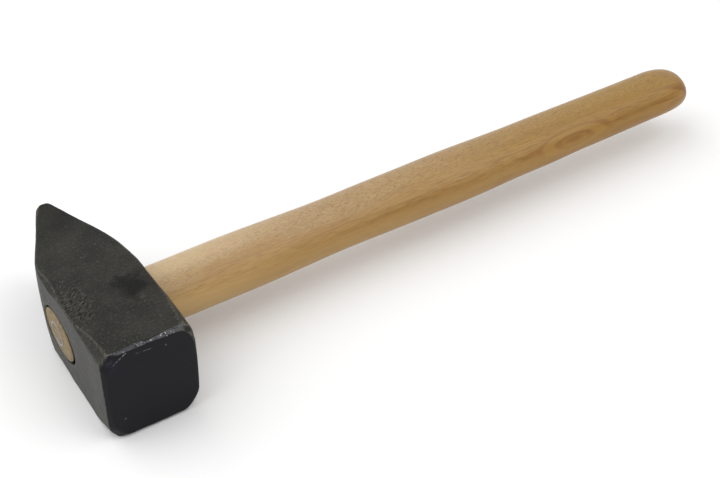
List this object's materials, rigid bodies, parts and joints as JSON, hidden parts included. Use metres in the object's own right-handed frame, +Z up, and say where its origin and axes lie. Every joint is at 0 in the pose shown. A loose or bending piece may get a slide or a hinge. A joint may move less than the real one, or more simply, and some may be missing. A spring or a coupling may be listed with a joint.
{
  "type": "cross-peen hammer",
  "caption": "Short heavy hammer with a square chamfered striking face, a wedge-shaped cross peen and an oval wooden handle held by a ring wedge.",
  "frame": {"origin": "on the lower cheek of the head, straight below the middle of the eye", "axes": "+X along the handle to its free end, +Y to the peen, +Z up through the head from cheek to cheek"},
  "size_m": [0.3835, 0.125, 0.052],
  "materials": {
    "forged_head": "dark olive-grey lacquer over forging scale, satin",
    "beech": "clear-lacquered beech, semi-gloss",
    "wedge_steel": "plain steel, slightly rough"
  },
  "bodies": {
    "root": {"head": "forged_head", "handle": "beech", "ring_wedge": "wedge_steel"}
  },
  "joints": []
}
